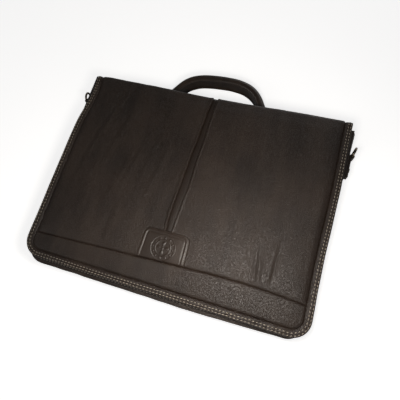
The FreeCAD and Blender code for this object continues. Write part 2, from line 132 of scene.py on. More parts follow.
# One where the camera or glass looks, a share of it in reflections, nought for light on the object.
def seenRays(tree):
    rays = addNode(tree, "ShaderNodeLightPath")
    mirrored = sumOf(tree, rays.outputs["Is Glossy Ray"], room["mirrored"], "MULTIPLY")
    seen = sumOf(tree, rays.outputs["Is Camera Ray"], mirrored, "MAXIMUM")
    return sumOf(tree, seen, rays.outputs["Is Transmission Ray"], "MAXIMUM")


def makeRoom():
    world = bpy.data.worlds.new("studio")
    bpy.context.scene.world = world
    world.use_nodes = True
    tree = world.node_tree
    lift = sumOf(tree, seenRays(tree), 1 - room["worldLevel"], "MULTIPLY")
    strength = sumOf(tree, lift, room["worldLevel"])
    feed(tree, tree.nodes["Background"], {"Color": (1, 1, 1, 1), "Strength": strength})

    shell = bmesh.new()
    bmesh.ops.create_grid(shell, x_segments=1, y_segments=1, size=room["floorHalf"])
    bmesh.ops.translate(shell, vec=(0, 0, -room["floorDrop"]), verts=shell.verts)
    mesh = bpy.data.meshes.new("floor")
    shell.to_mesh(mesh)
    shell.free()
    floor = bpy.data.objects.new("floor", mesh)
    bpy.context.scene.collection.objects.link(floor)
    paint = bpy.data.materials.new("paleFloor")
    paint.use_nodes = True
    tree = paint.node_tree
    white = room["floorWhite"]
    feed(tree, tree.nodes["Principled BSDF"], {
        "Base Color": (white, white, white, 1), "Roughness": room["floorRoughness"],
        "Specular IOR Level": room["floorShine"], "Emission Color": (1, 1, 1, 1),
        "Emission Strength": sumOf(tree, seenRays(tree), room["floorGlow"], "MULTIPLY")})
    mesh.materials.append(paint)


makeCamera(cameraView)
bpy.context.scene.view_settings.view_transform = "Standard"
makeLamps()
makeRoom()
print("camera, lamps and floor made")


# Shader groups: what several finishes share.
def newGroup(name, inputs, outputs):
    tree = bpy.data.node_groups.new(name, "ShaderNodeTree")
    for label, start in inputs:
        socket = tree.interface.new_socket(label, in_out="INPUT", socket_type="NodeSocketFloat")
        socket.default_value = start
    for label in outputs:
        tree.interface.new_socket(label, in_out="OUTPUT", socket_type="NodeSocketFloat")
    return tree, addNode(tree, "NodeGroupInput"), addNode(tree, "NodeGroupOutput")


def spread(tree, item, low, high, newLow, newHigh, kind="SMOOTHSTEP"):
    node = addNode(tree, "ShaderNodeMapRange", interpolation_type=kind)
    feed(tree, node, {"Value": item, "From Min": low, "From Max": high, "To Min": newLow, "To Max": newHigh})
    return node.outputs["Result"]


def noiseFrom(tree, vector, scale, detail=2.0, rough=0.5, stretch=None):
    node = addNode(tree, "ShaderNodeTexNoise")
    if stretch:
        mapping = addNode(tree, "ShaderNodeMapping")
        feed(tree, mapping, {"Scale": stretch, "Vector": vector})
        vector = mapping.outputs[0]
    feed(tree, node, {"Vector": vector, "Scale": scale, "Detail": detail, "Roughness": rough})
    return node.outputs["Fac"]


# Pebbles parted by creases, with finer pores on them.
def makePebbleGrain():
    tree, given, result = newGroup("pebbleGrain", [("Cells", 620)], ["Height", "Crease", "Pebble"])
    place = addNode(tree, "ShaderNodeTexCoord").outputs["Object"]
    bend = addNode(tree, "ShaderNodeTexNoise")
    feed(tree, bend, {"Vector": place, "Scale": 260, "Detail": 2})
    push = addNode(tree, "ShaderNodeVectorMath", operation="MULTIPLY_ADD")
    feed(tree, push, {0: bend.outputs["Color"], 1: (0.0005, 0.0005, 0.0005), 2: place})
    edges = addNode(tree, "ShaderNodeTexVoronoi", feature="DISTANCE_TO_EDGE")
    cells = addNode(tree, "ShaderNodeTexVoronoi", feature="F1")
    for cellular in (edges, cells):
        feed(tree, cellular, {"Vector": push.outputs[0], "Scale": given.outputs["Cells"]})
    tone = addNode(tree, "ShaderNodeSeparateColor")
    tree.links.new(cells.outputs["Color"], tone.inputs[0])
    crown = spread(tree, cells.outputs["Distance"], 0.1, 0.75, 1.0, 0.0)
    dome = sumOf(tree, crown, spread(tree, edges.outputs["Distance"], 0.0, 0.16, 0.0, 1.0), "MULTIPLY")
    pores = noiseFrom(tree, place, 2400, 3.0, 0.6)
    tall = spread(tree, tone.outputs[0], 0.0, 1.0, 0.75, 1.0, "LINEAR")
    body = sumOf(tree, dome, tall, "MULTIPLY")
    fine = sumOf(tree, pores, 0.35, "MULTIPLY")
    crease = spread(tree, edges.outputs["Distance"], 0.0, 0.12, 1.0, 0.0)
    feed(tree, result, {"Height": sumOf(tree, body, fine), "Crease": crease, "Pebble": tone.outputs[1]})
    return tree


# Slow changes over a hide: cloudy dye, stretched streaks and rubbed places.
def makeHideTone():
    tree, given, result = newGroup("hideTone", [("Cloud", 14), ("Streak", 40)], ["Tone", "Streaks", "Rub"])
    place = addNode(tree, "ShaderNodeTexCoord").outputs["Object"]
    cloud = noiseFrom(tree, place, given.outputs["Cloud"], 4.0, 0.55)
    streak = noiseFrom(tree, place, given.outputs["Streak"], 5.0, 0.6, stretch=(1.0, 0.18, 1.0))
    rub = noiseFrom(tree, place, 120, 6.0, 0.68)
    feed(tree, result, {"Tone": spread(tree, cloud, 0.3, 0.7, 0.0, 1.0),
                        "Streaks": spread(tree, streak, 0.35, 0.7, 0.0, 1.0),
                        "Rub": spread(tree, rub, 0.45, 0.75, 0.0, 1.0)})
    return tree


# Raised edges that hands and tables have rubbed.
def makeEdgeWear():
    tree, given, result = newGroup("edgeWear", [("Start", 0.52), ("Full", 0.6)], ["Worn"])
    point = addNode(tree, "ShaderNodeNewGeometry").outputs["Pointiness"]
    edge = spread(tree, point, given.outputs["Start"], given.outputs["Full"], 0.0, 1.0)
    place = addNode(tree, "ShaderNodeTexCoord").outputs["Object"]
    broken = spread(tree, noiseFrom(tree, place, 300, 4.0, 0.6), 0.35, 0.65, 0.35, 1.0)
    feed(tree, result, {"Worn": sumOf(tree, edge, broken, "MULTIPLY")})
    return tree


# Threads over and under, for lining and tape.
def makeWeave():
    tree, given, result = newGroup("weave", [("Threads", 1400)], ["Height", "Shade"])
    place = addNode(tree, "ShaderNodeTexCoord").outputs["Object"]
    waves = []
    for direction in ("X", "Y", "Z"):
        wave = addNode(tree, "ShaderNodeTexWave", bands_direction=direction)
        feed(tree, wave, {"Vector": place, "Scale": given.outputs["Threads"], "Distortion": 0.6})
        waves.append(wave.outputs["Fac"])
    crossed = sumOf(tree, sumOf(tree, waves[0], waves[1], "MULTIPLY"), waves[2], "MAXIMUM")
    feed(tree, result, {"Height": crossed, "Shade": noiseFrom(tree, place, 90, 4.0)})
    return tree


pebbleGrain = makePebbleGrain()
hideTone = makeHideTone()
edgeWear = makeEdgeWear()
weave = makeWeave()


def useGroup(tree, group, **settings):
    node = addNode(tree, "ShaderNodeGroup", node_tree=group)
    feed(tree, node, settings)
    return node.outputs


def mixColour(tree, factor, first, second):
    node = addNode(tree, "ShaderNodeMix", data_type="RGBA")
    first, second = ((*item, 1) if isinstance(item, tuple) else item for item in (first, second))
    feed(tree, node, {"Factor": factor, "A": first, "B": second})
    return node.outputs["Result"]


def newMaterial(name, **settings):
    material = bpy.data.materials.new(name)
    material.use_nodes = True
    surface = material.node_tree.nodes["Principled BSDF"]
    feed(material.node_tree, surface, settings)
    return material, material.node_tree, surface


def bump(tree, surface, height, strength, distance, before=None):
    node = addNode(tree, "ShaderNodeBump")
    feed(tree, node, {"Strength": strength, "Distance": distance, "Height": height})
    if before:
        feed(tree, node, {"Normal": before})
    tree.links.new(node.outputs["Normal"], surface.inputs["Normal"])
    return node.outputs["Normal"]


hide = {
    "dark": (0.0135, 0.0076, 0.0044),
    "brown": (0.0280, 0.0168, 0.0108),
    "worn": (0.0700, 0.0480, 0.0350),
    # Painted shade: the crease colour darkens the grain's creases between the pebbles.
    "crease": (0.0060, 0.0038, 0.0027),
}


def leather(name, cells, grain, gloss, tint=1.0, wearStart=0.53, wearFull=0.62):
    shade = {key: tuple(level * tint for level in colour) for key, colour in hide.items()}
    material, tree, surface = newMaterial(name, **{"Specular IOR Level": 0.42})
    grainOut = useGroup(tree, pebbleGrain, Cells=cells)
    tone = useGroup(tree, hideTone)
    worn = useGroup(tree, edgeWear, Start=wearStart, Full=wearFull)
    base = mixColour(tree, tone["Tone"], shade["dark"], shade["brown"])
    base = mixColour(tree, sumOf(tree, tone["Streaks"], 0.3, "MULTIPLY"), base, shade["worn"])
    # Painted shade laid into the grain's creases, towards the near-black crease colour.
    base = mixColour(tree, sumOf(tree, grainOut["Crease"], 0.6, "MULTIPLY"), base, shade["crease"])
    base = mixColour(tree, sumOf(tree, worn["Worn"], 0.55, "MULTIPLY"), base, shade["worn"])
    rough = spread(tree, grainOut["Pebble"], 0.0, 1.0, gloss - 0.02, gloss + 0.03, "LINEAR")
    rough = sumOf(tree, rough, sumOf(tree, tone["Rub"], -0.02, "MULTIPLY"))
    rough = sumOf(tree, rough, sumOf(tree, grainOut["Crease"], 0.08, "MULTIPLY"))
    feed(tree, surface, {"Base Color": base, "Roughness": rough})
    slow = bump(tree, surface, tone["Streaks"], 0.12, 0.0005)
    bump(tree, surface, grainOut["Height"], grain, 0.00034, slow)
    return material


def cloth(name, colour, threads):
    material, tree, surface = newMaterial(name, **{"Roughness": 0.85, "Sheen Weight": 0.25})
    woven = useGroup(tree, weave, Threads=threads)
    # Painted highlight on the raised threads, which leaves painted shade in the gaps between them.
    threadHighlight = tuple(min(1.0, level * 1.7 + 0.01) for level in colour)
    base = mixColour(tree, woven["Height"], colour, threadHighlight)
    dark = tuple(level * 0.6 for level in colour)
    base = mixColour(tree, sumOf(tree, woven["Shade"], 0.35, "MULTIPLY"), base, dark)
    feed(tree, surface, {"Base Color": base})
    bump(tree, surface, woven["Height"], 0.5, 0.0002)
    return material


def metal(name, colour, dull, rough):
    material, tree, surface = newMaterial(name, Metallic=0.95)
    tone = useGroup(tree, hideTone, Cloud=160, Streak=300)
    worn = useGroup(tree, edgeWear, Start=0.5, Full=0.56)
    base = mixColour(tree, tone["Tone"], dull, colour)
    base = mixColour(tree, worn["Worn"], base, tuple(min(1.0, level * 1.8) for level in colour))
    uneven = spread(tree, tone["Rub"], 0.0, 1.0, rough - 0.08, rough + 0.14, "LINEAR")
    feed(tree, surface, {"Base Color": base, "Roughness": uneven})
    bump(tree, surface, tone["Rub"], 0.12, 0.0001)
    return material


def thread(name, colour):
    material, tree, surface = newMaterial(name, **{"Roughness": 0.6, "Sheen Weight": 0.2})
    where = addNode(tree, "ShaderNodeTexCoord").outputs["Object"]
    dirt = noiseFrom(tree, where, 500, 4.0)
    soiled = tuple(level * 0.55 for level in colour)
    base = mixColour(tree, spread(tree, dirt, 0.35, 0.7, 0.0, 0.55), colour, soiled)
    feed(tree, surface, {"Base Color": base})
    bump(tree, surface, noiseFrom(tree, where, 3200, 2.0), 0.4, 0.0002)
    return material


finish = {
    "hide": leather("pebbledHide", 860, 0.8, 0.37),
    "gussetHide": leather("softGussetHide", 700, 0.5, 0.5, tint=1.05),
    "pleatHide": leather("pleatHide", 700, 0.3, 0.44, tint=0.85),
    "patchHide": leather("smoothPatchHide", 1500, 0.16, 0.39, tint=1.05),
    "handleHide": leather("rubbedHandleHide", 1300, 0.2, 0.38, tint=1.25, wearStart=0.505, wearFull=0.58),
    "tabHide": leather("tabHide", 1000, 0.3, 0.42),
    "thread": thread("creamThread", (0.50, 0.43, 0.34)),
    "lining": cloth("liningCloth", (0.020, 0.017, 0.016), 900),
    "tape": cloth("zipTape", (0.012, 0.011, 0.011), 1400),
    "board": cloth("fibreBoard", (0.13, 0.095, 0.07), 300),
    "darkMetal": metal("antiquedMetal", (0.20, 0.165, 0.12), (0.05, 0.042, 0.034), 0.34),
    "magnet": metal("platedSteel", (0.42, 0.41, 0.39), (0.22, 0.21, 0.2), 0.3),
    "coil": metal("blackCoil", (0.03, 0.03, 0.03), (0.015, 0.015, 0.015), 0.4),
}
print("finishes made:", len(finish))


# Meshes: a shape made with bmesh, kept at the origin with its place in its vertices.
def keep(shape, name, material, smooth=True):
    mesh = bpy.data.meshes.new(name)
    shape.normal_update()
    shape.to_mesh(mesh)
    shape.free()
    piece = bpy.data.objects.new(name, mesh)
    bpy.context.scene.collection.objects.link(piece)
    mesh.materials.append(finish[material])
    for face in mesh.polygons:
        face.use_smooth = smooth
    return piece


def thicken(piece, thickness):
    wall = piece.modifiers.new("wall", "SOLIDIFY")
    wall.thickness = thickness
    wall.offset = -1
    wall.use_even_offset = False


def gridSheet(name, columns, rows, shape, material):
    sheet = bmesh.new()
    bmesh.ops.create_grid(sheet, x_segments=columns, y_segments=rows, size=0.5)
    for vert in sheet.verts:
        vert.co = shape(vert.co.x + 0.5, vert.co.y + 0.5)
    return keep(sheet, name, material)


def eased(value, low, high):
    share = min(1.0, max(0.0, (value - low) / (high - low)))
    return share * share * (3 - 2 * share)


def hump(value, middle, width):
    return math.exp(-((value - middle) / width) ** 2)


def wander(x, y, size, seed):
    return noise.noise(Vector((x / size, y / size, seed)))


up = Vector((0, 0, 1))


# Routes: evenly spaced points along straight runs and round corners, in millimetres.
def route(points, radii, step):
    spots = [Vector((*point, 0)) for point in points]
    rounded = [spots[0]]
    for before, corner, after, radius in zip(spots, spots[1:], spots[2:], radii):
        first, second = (before - corner).normalized(), (after - corner).normalized()
        half = first.angle(second) / 2
        reach = radius / math.tan(half)
        centre = corner + (first + second).normalized() * radius / math.sin(half)
        start, end = corner + first * reach, corner + second * reach
        arm, turn = start - centre, (start - centre).angle(end - centre)
        side = math.copysign(1, arm.cross(end - centre).z)
        count = max(3, int(radius * turn / step))
        for i in range(count + 1):
            swing = arm.copy()
            swing.rotate(Quaternion((0, 0, 1), side * turn * i / count))
            rounded.append(centre + swing)
    rounded.append(spots[-1])
    return evenly(rounded, step)


def evenly(points, step):
    lengths = [0.0]
    for a, b in zip(points, points[1:]):
        lengths.append(lengths[-1] + (b - a).length)
    count = max(2, round(lengths[-1] / step))
    spaced, i = [], 0
    for n in range(count + 1):
        target = lengths[-1] * n / count
        while i < len(points) - 2 and lengths[i + 1] < target:
            i += 1
        run = lengths[i + 1] - lengths[i]
        share = (target - lengths[i]) / run if run > 0 else 0
        spaced.append(points[i].lerp(points[i + 1], min(1, share)))
    return spaced


def headings(points):
    last = len(points) - 1
    return [(points[min(i + 1, last)] - points[max(i - 1, 0)]).normalized() for i in range(last + 1)]


def besideRoute(points, shift):
    return [point + way.cross(up) * shift for point, way in zip(points, headings(points))]


# A ring of points carried along a route: ring(i) gives (outwards, upwards) pairs, in millimetres.
def sweep(name, points, ring, material):
    shape = bmesh.new()
    ways = headings(points)
    count = len(ring(0))
    verts = [shape.verts.new((0, 0, 0)) for n in range(count)]
    edges = [shape.edges.new((verts[n], verts[(n + 1) % count])) for n in range(count)]
    rings = [verts]
    for i in range(1, len(points)):
        made = bmesh.ops.extrude_edge_only(shape, edges=edges)["geom"]
        fresh = [item for item in made if isinstance(item, bmesh.types.BMVert)]
        edges = [item for item in made if isinstance(item, bmesh.types.BMEdge)
                 and all(vert in fresh for vert in item.verts)]
        ordered = [next(edge.other_vert(old) for edge in old.link_edges if edge.other_vert(old) in fresh)
                   for old in rings[-1]]
        rings.append(ordered)
    for i, verts in enumerate(rings):
        out = ways[i].cross(up).normalized()
        for vert, (across, rise) in zip(verts, ring(i)):
            vert.co = (points[i] + out * across + up * rise) * mm
    for verts in (rings[0], rings[-1]):
        bmesh.ops.contextual_create(shape, geom=verts)
    bmesh.ops.recalc_face_normals(shape, faces=shape.faces)
    return keep(shape, name, material)


# Stitches: short thread lozenges laid along a route.
stitch = {"long": 2.7, "wide": 0.9, "tall": 0.42, "pitch": 4.7, "slant": 9.0, "sink": 0.10}


def stitchRow(name, points, lift, body, seed, outwards=up):
    rnd = random.Random(seed)
    shape = bmesh.new()
    spots = evenly(points, stitch["pitch"])
    for spot, way in zip(spots, headings(spots)):
        turn = Matrix((way, outwards.cross(way).normalized(), outwards)).transposed().to_4x4()
        tilt = Matrix.Rotation(math.radians(stitch["slant"] + rnd.uniform(-4, 4)), 4, "Z")
        grow = Matrix.Diagonal((stitch["long"] * rnd.uniform(0.92, 1.05) / 2, stitch["wide"] / 2,
                                stitch["wide"] * stitch["tall"], 1))
        rise = lift(spot) if callable(lift) else lift
        where = Matrix.Translation((spot + outwards * (rise - stitch["sink"])) * mm)
        lengthways = Matrix.Rotation(math.pi / 2, 4, "Y")
        bmesh.ops.create_uvsphere(shape, u_segments=6, v_segments=6, radius=mm,
                                  matrix=where @ turn @ tilt @ grow @ lengthways)
    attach(keep(shape, name, "thread"), body)


# The flap in millimetres. Heights are above the flap's face in the frame.
low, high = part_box("flap_border")
flap = {
    "half": high.x / mm,
    "low": low.y / mm,
    "face": high.z / mm,
    "corner": 25.0,
    "border": (high.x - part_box("flap_padding")[1].x) / mm,
    "underBorder": 0.6,       # how far panels and band run under the border
    "shell": 1.1,
    "creaseRadius": 5.5,
    "creaseFront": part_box("spine_panel")[1].y / mm + 0.4,
    "creaseRow": 147.0,
    "skinDown": 11.0,         # how far the flap's leather laps down the spine
    "puff": 2.3,
    "cell": 1.45,
}
flapValley = flap["half"] - flap["border"] + flap["underBorder"]
seam = {"left": -115.0, "slope": 0.0464, "bend": 0.00056, "bendStart": 60.0}


def seamLine(x):
    return seam["left"] + seam["slope"] * (x + 184) - seam["bend"] * max(0.0, x - seam["bendStart"]) ** 2


# The flap isn't quite square: its left edge is drawn in near the top and the crease dips in the middle.
def settle(x, y):
    share = (abs(x) / flap["half"]) ** 3
    if x < 0:
        x += 6.0 * share * hump(y, 116, 40) + 1.5 * share * eased(y, 60, flap["creaseRow"])
    else:
        x += 0.8 * share * math.sin(y / 31)
    y += eased(y, 60, flap["creaseRow"]) * (-1.6 + 3.2 * eased(x, 20, 200) - 1.2 * hump(x, -10, 60))
    return x, y


# How far the crease stands above or below its level at x.
def creaseSag(x):
    return settle(x, flap["creaseRow"])[1] - flap["creaseRow"]


# Distance inwards from the flap's free edge, corners included.
def fromEdge(x, y):
    half, bottom, corner = flap["half"], flap["low"], flap["corner"]
    sideways, upwards = half - abs(x), y - bottom
    if sideways < corner and upwards < corner:
        return corner - math.hypot(corner - sideways, corner - upwards)
    return min(sideways, upwards)


pleat = {"shift": [(148, 2.0), (112, 0.5), (78, 0.0), (43, -1.5), (4, -2.0), (-26, -3.4), (-50, -4.0), (-64, -3.6),
                   (-112, -3.2)],
         "half": [(148, 2.8), (112, 3.4), (78, 4.0), (43, 4.4), (4, 5.2), (-26, 4.6), (-50, 4.0), (-64, 3.2),
                  (-112, 1.6)]}


def along(stations, y):
    for (highY, first), (lowY, second) in zip(stations, stations[1:]):
        if y >= lowY:
            return second + (first - second) * eased(y, lowY, highY)
    return stations[-1][1]


def pleatEdge(s, side):
    y = min(s, flap["creaseRow"])
    return along(pleat["shift"], y) + side * along(pleat["half"], y)


# Creases that use has pressed into the hide: where each runs, its lean, length, width and depth.
creases = [
    {"x": 119.0, "y": -78.0, "lean": -0.12, "reach": 25.0, "width": 2.6, "depth": -1.15, "bow": 0.0},
    {"x": 124.5, "y": -80.0, "lean": -0.12, "reach": 24.0, "width": 3.4, "depth": 1.25, "bow": 0.0},
    {"x": 143.5, "y": -66.0, "lean": 0.03, "reach": 32.0, "width": 2.8, "depth": -1.0, "bow": 0.0},
    {"x": 138.0, "y": -82.0, "lean": 0.03, "reach": 26.0, "width": 3.4, "depth": 1.05, "bow": 0.0},
    {"x": -150.0, "y": 60.0, "lean": 0.20, "reach": 66.0, "width": 4.0, "depth": 0.62, "bow": 0.0006},
    {"x": -158.0, "y": 52.0, "lean": 0.20, "reach": 60.0, "width": 3.4, "depth": -0.5, "bow": 0.0006},
    {"x": -118.0, "y": 70.0, "lean": 0.22, "reach": 60.0, "width": 4.6, "depth": 0.5, "bow": 0.0008},
    {"x": -126.0, "y": 60.0, "lean": 0.22, "reach": 56.0, "width": 3.6, "depth": -0.42, "bow": 0.0008},
    {"x": -100.0, "y": -10.0, "lean": 0.16, "reach": 42.0, "width": 3.6, "depth": 0.42, "bow": 0.0005},
    {"x": -84.0, "y": 20.0, "lean": 0.18, "reach": 46.0, "width": 3.8, "depth": 0.46, "bow": 0.0004},
    {"x": -62.0, "y": 40.0, "lean": 0.14, "reach": 50.0, "width": 4.2, "depth": 0.44, "bow": 0.0004},
    {"x": -47.0, "y": 10.0, "lean": 0.12, "reach": 44.0, "width": 3.4, "depth": 0.38, "bow": 0.0},
    {"x": -132.0, "y": -60.0, "lean": 0.05, "reach": 26.0, "width": 2.8, "depth": -0.4, "bow": 0.0},
    {"x": -92.0, "y": -70.0, "lean": 0.02, "reach": 24.0, "width": 2.6, "depth": -0.36, "bow": 0.0},
    {"x": 60.0, "y": 30.0, "lean": -0.05, "reach": 60.0, "width": 7.0, "depth": 0.5, "bow": 0.0},
    {"x": 96.0, "y": -10.0, "lean": 0.02, "reach": 60.0, "width": 6.0, "depth": -0.4, "bow": 0.0},
]


def creaseHeight(x, y):
    total = 0.0
    for crease in creases:
        far = y - crease["y"]
        if abs(far) < crease["reach"] * 2.2:
            middle = crease["x"] + crease["lean"] * far + crease["bow"] * far * far
            if abs(x - middle) < crease["width"] * 3:
                total += crease["depth"] * hump(x, middle, crease["width"]) * hump(far, 0, crease["reach"])
    return total


# Soft waves of leather over wadding, longer up and down the flap than across it.
def softWaves(x, y):
    wave = 0.55 * wander(x, y * 0.45, 46, 3.1) + 0.26 * wander(x, y * 0.5, 19, 7.7)
    return wave + 0.10 * wander(x, y * 0.8, 8.0, 1.3)


patch = {"middle": -3.5, "half": 33.0, "top": -64.0, "low": -110.0, "corner": 10.0, "skin": 0.9, "rim": 4.2,
         "splay": 1.6, "motif": (-4.0, -88.0), "motifSize": 17.0, "relief": 1.6}


# Half the patch's width, which grows a little towards its foot.
def patchLean(fromTop):
    return patch["half"] + patch["splay"] * fromTop / (patch["top"] - patch["low"])


# Distance inwards from the patch's outline.
def insidePatch(x, y):
    fromTop, across, corner = patch["top"] - y, abs(x - patch["middle"]), patch["corner"]
    lean = patchLean(fromTop)
    if fromTop < corner and across > lean - corner:
        return corner - math.hypot(across - lean + corner, corner - fromTop)
    return min(lean - across, fromTop)


def panelHeight(x, s):
    fade = 1 - eased(s, 128, 150)
    calm = 1 - 0.75 * eased(insidePatch(x, s), -12, 2)
    edges = (flapValley - abs(x), s - seamLine(x))
    rise = flap["puff"] * (0.35 + 0.65 * fade) * (1 - math.exp(-max(0.0, min(edges)) / 9.0))
    rise -= 1.2 * fade * (1 - eased(edges[0], 0, 9))
    return rise + calm * eased(min(edges), 0, 14) * (softWaves(x, s) + creaseHeight(x, s))


# Carries a point over the crease: s is measured up the flap, h outwards from the leather.
def overCrease(x, s, h):
    radius = flap["creaseRadius"]
    start = flap["creaseFront"] - radius
    sag = creaseSag(x)
    if s <= start:
        return Vector((x, s + sag * eased(s, 90, start), flap["face"] + h))
    turn = min((s - start) / radius, math.pi / 2)
    down = s - start - radius * math.pi / 2
    y = start + sag + (radius + h) * math.sin(turn)
    z = flap["face"] - radius + (radius + h) * math.cos(turn) - max(0.0, down)
    return Vector((x, y, z))


def flapEnd():
    return flap["creaseFront"] - flap["creaseRadius"] + flap["creaseRadius"] * math.pi / 2 + flap["skinDown"]


# A share of the way across, closer together near both ends.
def bunched(share):
    return share - 0.11 * math.sin(2 * math.pi * share) / math.pi


def panelPlace(side):
    top = flapEnd()

    def place(u, v):
        across = bunched(u)
        guess = side * (flap["half"] * 0.5)
        s = seamLine(guess) + (top - seamLine(guess)) * v
        inner = pleatEdge(s, side)
        x = inner + (side * flapValley - inner) * (across if side > 0 else 1 - across)
        bottom = seamLine(x)
        s = bottom + (top - bottom) * v
        toPleat = abs(x - pleatEdge(s, side))
        toValley = flapValley - abs(x)
        toSeam = s - bottom
        fade = 1 - eased(s, 128, 150)
        h = panelHeight(x, s)
        h -= 2.6 * eased(insidePatch(x, s), 0.8, 3.0)
        lip = 0.85 + (0.7 if side < 0 else 0.15) * (1 - eased(s, -60, 30))
        h += lip * hump(toPleat, 1.9, 1.7) * (0.5 + 0.5 * fade)       # folded lip beside the pleat
        h -= 2.0 * (1 - eased(toPleat, -0.2, 1.5))                    # and its turn down into the pleat
        h -= 1.5 * (1 - eased(toValley, 0.0, 2.6))
        h -= 1.4 * (1 - eased(toSeam, 0.0, 1.8))
        x = settle(x, min(s, flap["creaseRow"]))[0]
        return overCrease(x, s, h) * mm

    return place


def bendAtCrease(piece):
    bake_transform(piece)


def makeFlapPanels():
    for name, side in (("flapLeftPanel", -1), ("flapRightPanel", 1)):
        columns = round((flap["half"] - flap["border"]) / flap["cell"])
        rows = round((flapEnd() - flap["low"] - 30) / flap["cell"])
        panel = gridSheet(name, columns, rows, panelPlace(side), "hide")
        thicken(panel, flap["shell"] * mm)
        nodes = ["flap_left_panel", "flap_padding"] if side < 0 else ["flap_right_panel"]
        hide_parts(*nodes)
        bendAtCrease(panel)


def makePleat():
    top, bottom = flapEnd() - 1, seam["left"] + 4

    def place(u, v):
        s = bottom + (top - bottom) * v
        left, right = pleatEdge(s, -1) - 2.5, pleatEdge(s, 1) + 2.5
        x = left + (right - left) * u
        h = -1.75 + 0.55 * math.sin(math.pi * u) + 0.12 * wander(x, s, 14, 5.0)
        x = settle(x, min(s, flap["creaseRow"]))[0]
        return overCrease(x, s, h) * mm

    strip = gridSheet("flapPleat", 14, 180, place, "pleatHide")
    thicken(strip, 0.7 * mm)
    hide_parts("flap_pleat")
    bendAtCrease(strip)


def makeBand():
    bottom = flap["low"] + flap["border"] - flap["underBorder"]
    corner = flap["corner"] - flap["border"] + flap["underBorder"]

    def place(u, v):
        x = (2 * u - 1) * flapValley
        top = seamLine(x) + 0.9
        y = bottom + (top - bottom) * v
        if y < bottom + corner:
            drop = corner - (y - bottom)
            width = flapValley - corner + math.sqrt(max(0.0, corner ** 2 - drop ** 2))
            x *= width / flapValley
        near = fromEdge(x, y) - flap["border"]
        h = 0.9 * (1 - math.exp(-max(0.0, near) / 6.0)) + 0.25 * eased(near, 0, 9) * softWaves(x, y)
        h -= 1.5 * (1 - eased(near, -0.6, 2.2))
        h -= 1.5 * (1 - eased(seamLine(x) - y, -0.8, 1.2))
        x, y = settle(x, y)
        return Vector((x, y, flap["face"] + h)) * mm

    band = gridSheet("flapBand", 260, 26, place, "hide")
    thicken(band, flap["shell"] * mm)
    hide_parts("flap_band")
    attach(band, "flap")


def flapRoute(top):
    half, bottom = flap["half"], flap["low"]
    corners = [(-half, top), (-half, bottom), (half, bottom), (half, top)]
    return route(corners, [flap["corner"], flap["corner"]], 2.0)


edgeRoute = flapRoute(flapEnd() - 0.5)
border = {
    "section": [(0.35, -3.8), (0.55, -2.2), (0.35, -1.0), (-0.4, -0.15), (-1.2, -0.25), (-1.75, -0.5),
                (-2.4, -0.15), (-3.4, 0.15), (-4.4, -0.1), (-5.1, -0.5), (-5.9, -0.3), (-7.2, -0.5),
                (-8.6, -0.95), (-9.7, -1.5), (-10.4, -2.6), (-10.4, -5.2), (-5.0, -5.4), (-0.4, -5.2)],
    "wide": 10.4,
    "rows": {"flapStitchOuter": (1.75, 3), "flapStitchInner": (5.15, 8)},   # distance in, and seed
    "rowsEnd": 144.5,
    "rowsSink": 0.22,
    "wave": 0.35,
    "pull": 0.45,
}


def borderWave(spot):
    return border["wave"] * wander(spot.x, spot.y, 23, 9.0)


def makeBorder():
    def ring(i):
        spot = edgeRoute[i]
        wave, pull = borderWave(spot), border["pull"] * wander(spot.x, spot.y, 31, 4.0)
        return [(across + pull * max(0.0, 1 + across / border["wide"]),
                 flap["face"] + rise + (wave if rise > -3 else 0))
                for across, rise in border["section"]]

    edge = sweep("flapBorder", edgeRoute, ring, "hide")
    for vert in edge.data.vertices:
        x, s, z = (level / mm for level in vert.co)
        x, y = settle(x, min(s, flap["creaseRow"]))
        vert.co = overCrease(x, s if s > 100 else y, z - flap["face"]) * mm
    finer = edge.modifiers.new("finer", "SUBSURF")
    finer.levels = finer.render_levels = 1
    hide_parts("flap_border")
    bendAtCrease(edge)
    for name, (shift, seed) in border["rows"].items():
        line = besideRoute(flapRoute(border["rowsEnd"]), -shift)
        points = [Vector((*settle(point.x, point.y), 0)) for point in line]
        stitchRow(name, points, lambda spot: flap["face"] - border["rowsSink"] + borderWave(spot), "flap", seed)


# A plain rosette: two rings, twelve beads and four petals.
def motifHeight(x, y):
    dx, dy = x - patch["motif"][0], y - patch["motif"][1]
    size = patch["motifSize"]
    radius, angle = math.hypot(dx, dy), math.atan2(dy, dx)
    if radius > size + 3:
        return 0.0
    rings = 0.30 * hump(radius, size, 0.8) + 0.26 * hump(radius, size * 0.62, 0.7)
    beads = 0.32 * hump(radius, size * 0.81, 1.3) * max(0.0, math.cos(angle * 12)) ** 2
    petals = 0.42 * max(0.0, math.cos(angle * 4)) ** 1.5 * hump(radius, size * 0.33, size * 0.17)
    heart = 0.35 * hump(radius, 0, 1.5)
    relief = rings + beads + petals + heart
    return patch["relief"] * relief - 0.3 * eased(size + 2 - radius, 0, 2)


def makePatch():
    def place(u, v):
        y = patch["low"] + (patch["top"] - patch["low"]) * v
        fromTop, corner = patch["top"] - y, patch["corner"]
        width = patchLean(fromTop)
        if fromTop < corner:
            width += math.sqrt(max(0.0, corner ** 2 - (corner - fromTop) ** 2)) - corner
        x = patch["middle"] + (2 * u - 1) * width
        y = max(y, seamLine(x) + 1.0 + 0.02 * (y - patch["low"]))
        inside = insidePatch(x, y)
        h = panelHeight(x, y) + patch["skin"] - 1.9 * (1 - eased(inside, -0.2, 1.5))
        h += 0.45 * hump(inside, patch["rim"], 1.0) - 0.35 * hump(inside, patch["rim"] + 2.0, 1.1)
        h += motifHeight(x, y) + 0.10 * wander(x, y, 9, 2.0)
        h -= 0.8 * (1 - eased(y - seamLine(x), 1.0, 2.4))
        return Vector((x, y, flap["face"] + h)) * mm

    piece = gridSheet("flapPatch", 150, 104, place, "patchHide")
    thicken(piece, 1.0 * mm)
    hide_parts("flap_patch")
    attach(piece, "flap")


makeFlapPanels()
makePleat()
makeBand()
makeBorder()
makePatch()
print("flap made")


